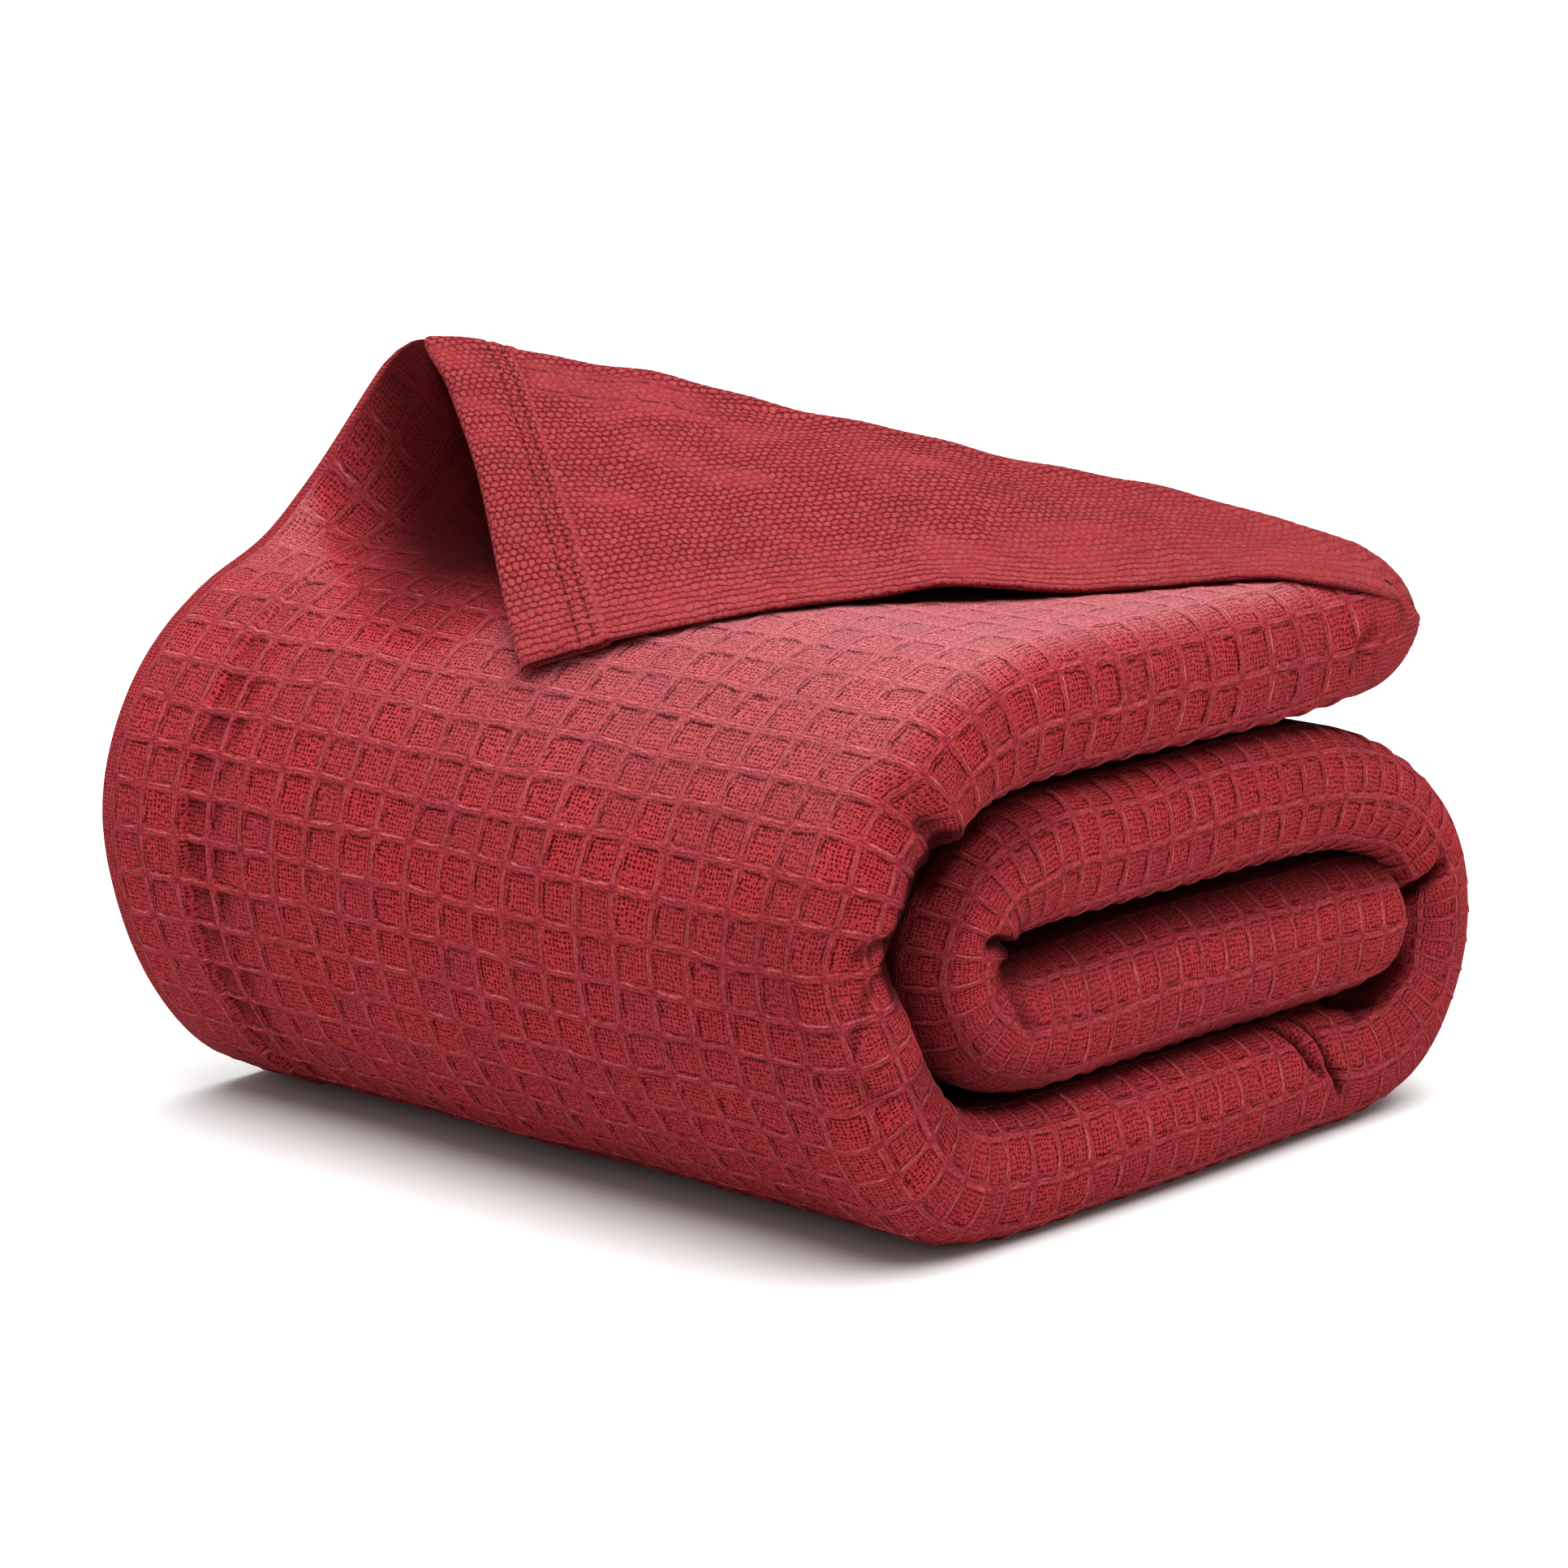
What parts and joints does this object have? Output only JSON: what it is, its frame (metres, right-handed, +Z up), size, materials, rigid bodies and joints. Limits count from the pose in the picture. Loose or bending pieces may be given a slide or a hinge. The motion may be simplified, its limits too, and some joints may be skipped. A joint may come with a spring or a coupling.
{
  "type": "waffle weave cotton blanket",
  "caption": "Waffle weave cotton blanket folded into a thick strip and rolled into a flat spiral, one corner turned back; bed cover stored or shown rolled.",
  "frame": {"origin": "centre of the box's underside, on the surface the blanket rests on", "axes": "+X along the roll to the end that shows the spiral, -Y out of the rounded front face, +Z up"},
  "size_m": [0.2798, 0.2802, 0.2097],
  "materials": {
    "cloth": "matt waffle weave cotton, burgundy rose"
  },
  "bodies": {
    "root": {"blanket": "cloth"}
  },
  "joints": []
}
